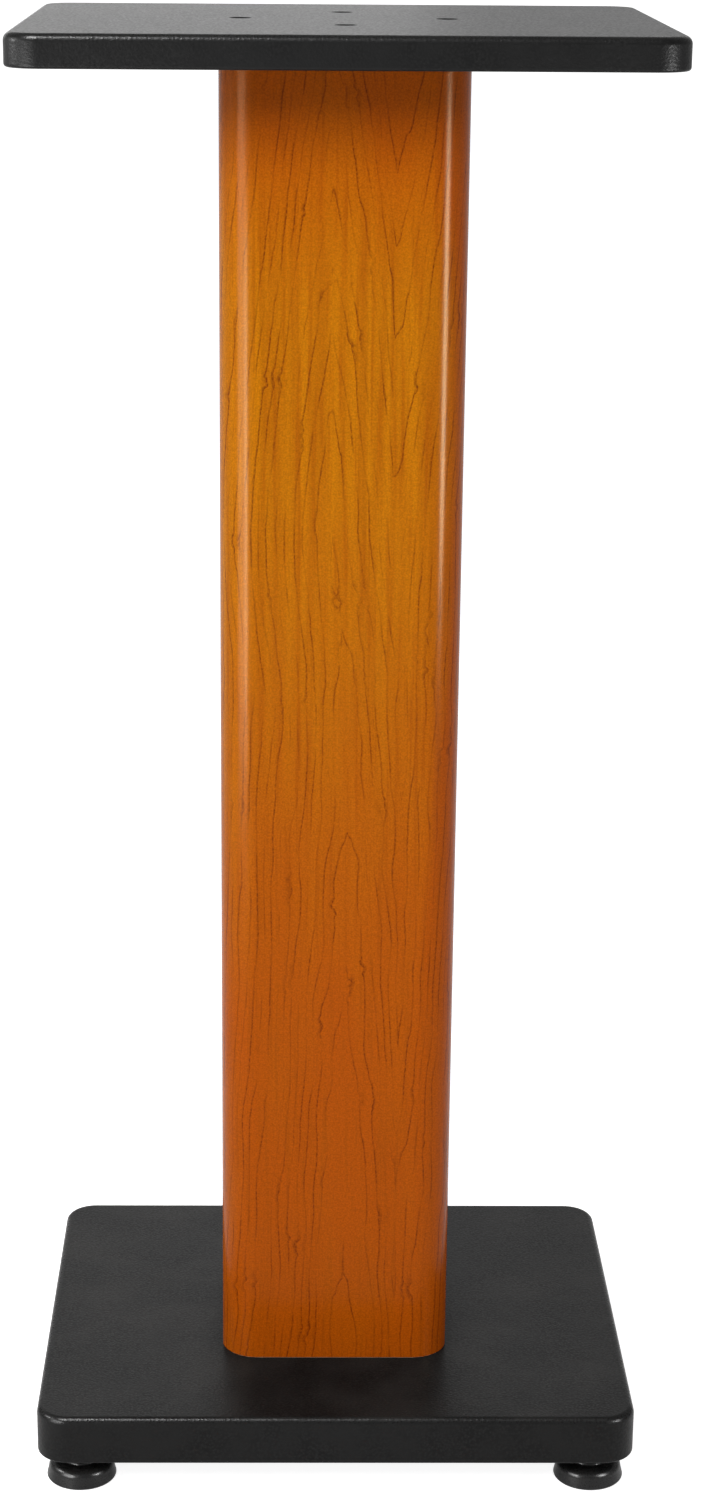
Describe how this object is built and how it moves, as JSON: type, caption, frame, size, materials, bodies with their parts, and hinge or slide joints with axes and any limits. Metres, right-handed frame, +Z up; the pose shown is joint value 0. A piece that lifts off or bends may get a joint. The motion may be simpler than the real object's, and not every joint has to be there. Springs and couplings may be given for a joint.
{
  "type": "speaker stand",
  "caption": "Floor stand for a bookshelf speaker: black top and base plates on a hollow wood-grain column, with screw-in levelling feet.",
  "frame": {"origin": "On the floor, under the middle of the stand, with the feet wound right in.", "axes": "+Z up. The front faces -Y, the back with the film's seam faces +Y, and +X is to the right seen from the front."},
  "size_m": [0.3, 0.25, 0.711],
  "materials": {
    "black_board": "fine pebbled satin black coating on fibreboard",
    "raw_board": "bare cut fibreboard",
    "cherry_film": "satin vinyl film printed with a cherry wood grain",
    "black_steel": "black zinc",
    "zinc_steel": "bright zinc",
    "black_plastic": "moulded gloss",
    "black_rubber": "matt"
  },
  "bodies": {
    "root": {"top_plate": "black_board", "base_plate": "black_board", "column_front_panel": "raw_board", "column_back_panel": "raw_board", "column_left_panel": "raw_board", "column_right_panel": "raw_board", "column_film": "cherry_film", "top_screw_front": "black_steel", "top_screw_back": "black_steel", "top_screw_left": "black_steel", "top_screw_right": "black_steel", "base_screw_front": "zinc_steel", "base_screw_back": "zinc_steel", "base_screw_left": "zinc_steel", "base_screw_right": "zinc_steel", "foot_front_left_nut": "zinc_steel", "foot_front_right_nut": "zinc_steel", "foot_back_left_nut": "zinc_steel", "foot_back_right_nut": "zinc_steel"},
    "front_left_pad": {"foot_front_left_sole": "black_rubber"},
    "front_left_foot": {"foot_front_left_cap": "black_plastic", "foot_front_left_stud": "zinc_steel"},
    "front_right_pad": {"foot_front_right_sole": "black_rubber"},
    "front_right_foot": {"foot_front_right_cap": "black_plastic", "foot_front_right_stud": "zinc_steel"},
    "back_left_pad": {"foot_back_left_sole": "black_rubber"},
    "back_left_foot": {"foot_back_left_cap": "black_plastic", "foot_back_left_stud": "zinc_steel"},
    "back_right_pad": {"foot_back_right_sole": "black_rubber"},
    "back_right_foot": {"foot_back_right_cap": "black_plastic", "foot_back_right_stud": "zinc_steel"}
  },
  "joints": [
    {"name": "front_left_wind_out", "type": "slide", "parent": "root", "child": "front_left_pad", "axis": [0, 0, -1], "range_m": [0, 0.01]},
    {"name": "front_left_turn", "type": "hinge", "parent": "front_left_pad", "child": "front_left_foot", "pos_m": [-0.1285, -0.1035, 0.018], "axis": [0, 0, -1], "range_deg": [0, 3600]},
    {"name": "front_right_wind_out", "type": "slide", "parent": "root", "child": "front_right_pad", "axis": [0, 0, -1], "range_m": [0, 0.01]},
    {"name": "front_right_turn", "type": "hinge", "parent": "front_right_pad", "child": "front_right_foot", "pos_m": [0.1285, -0.1035, 0.018], "axis": [0, 0, -1], "range_deg": [0, 3600]},
    {"name": "back_left_wind_out", "type": "slide", "parent": "root", "child": "back_left_pad", "axis": [0, 0, -1], "range_m": [0, 0.01]},
    {"name": "back_left_turn", "type": "hinge", "parent": "back_left_pad", "child": "back_left_foot", "pos_m": [-0.1285, 0.1035, 0.018], "axis": [0, 0, -1], "range_deg": [0, 3600]},
    {"name": "back_right_wind_out", "type": "slide", "parent": "root", "child": "back_right_pad", "axis": [0, 0, -1], "range_m": [0, 0.01]},
    {"name": "back_right_turn", "type": "hinge", "parent": "back_right_pad", "child": "back_right_foot", "pos_m": [0.1285, 0.1035, 0.018], "axis": [0, 0, -1], "range_deg": [0, 3600]}
  ],
  "couplings": [
    {"joint": "front_left_wind_out", "follows": "front_left_turn", "m_per_rad": 0.00015915},
    {"joint": "front_right_wind_out", "follows": "front_right_turn", "m_per_rad": 0.00015915},
    {"joint": "back_left_wind_out", "follows": "back_left_turn", "m_per_rad": 0.00015915},
    {"joint": "back_right_wind_out", "follows": "back_right_turn", "m_per_rad": 0.00015915}
  ]
}
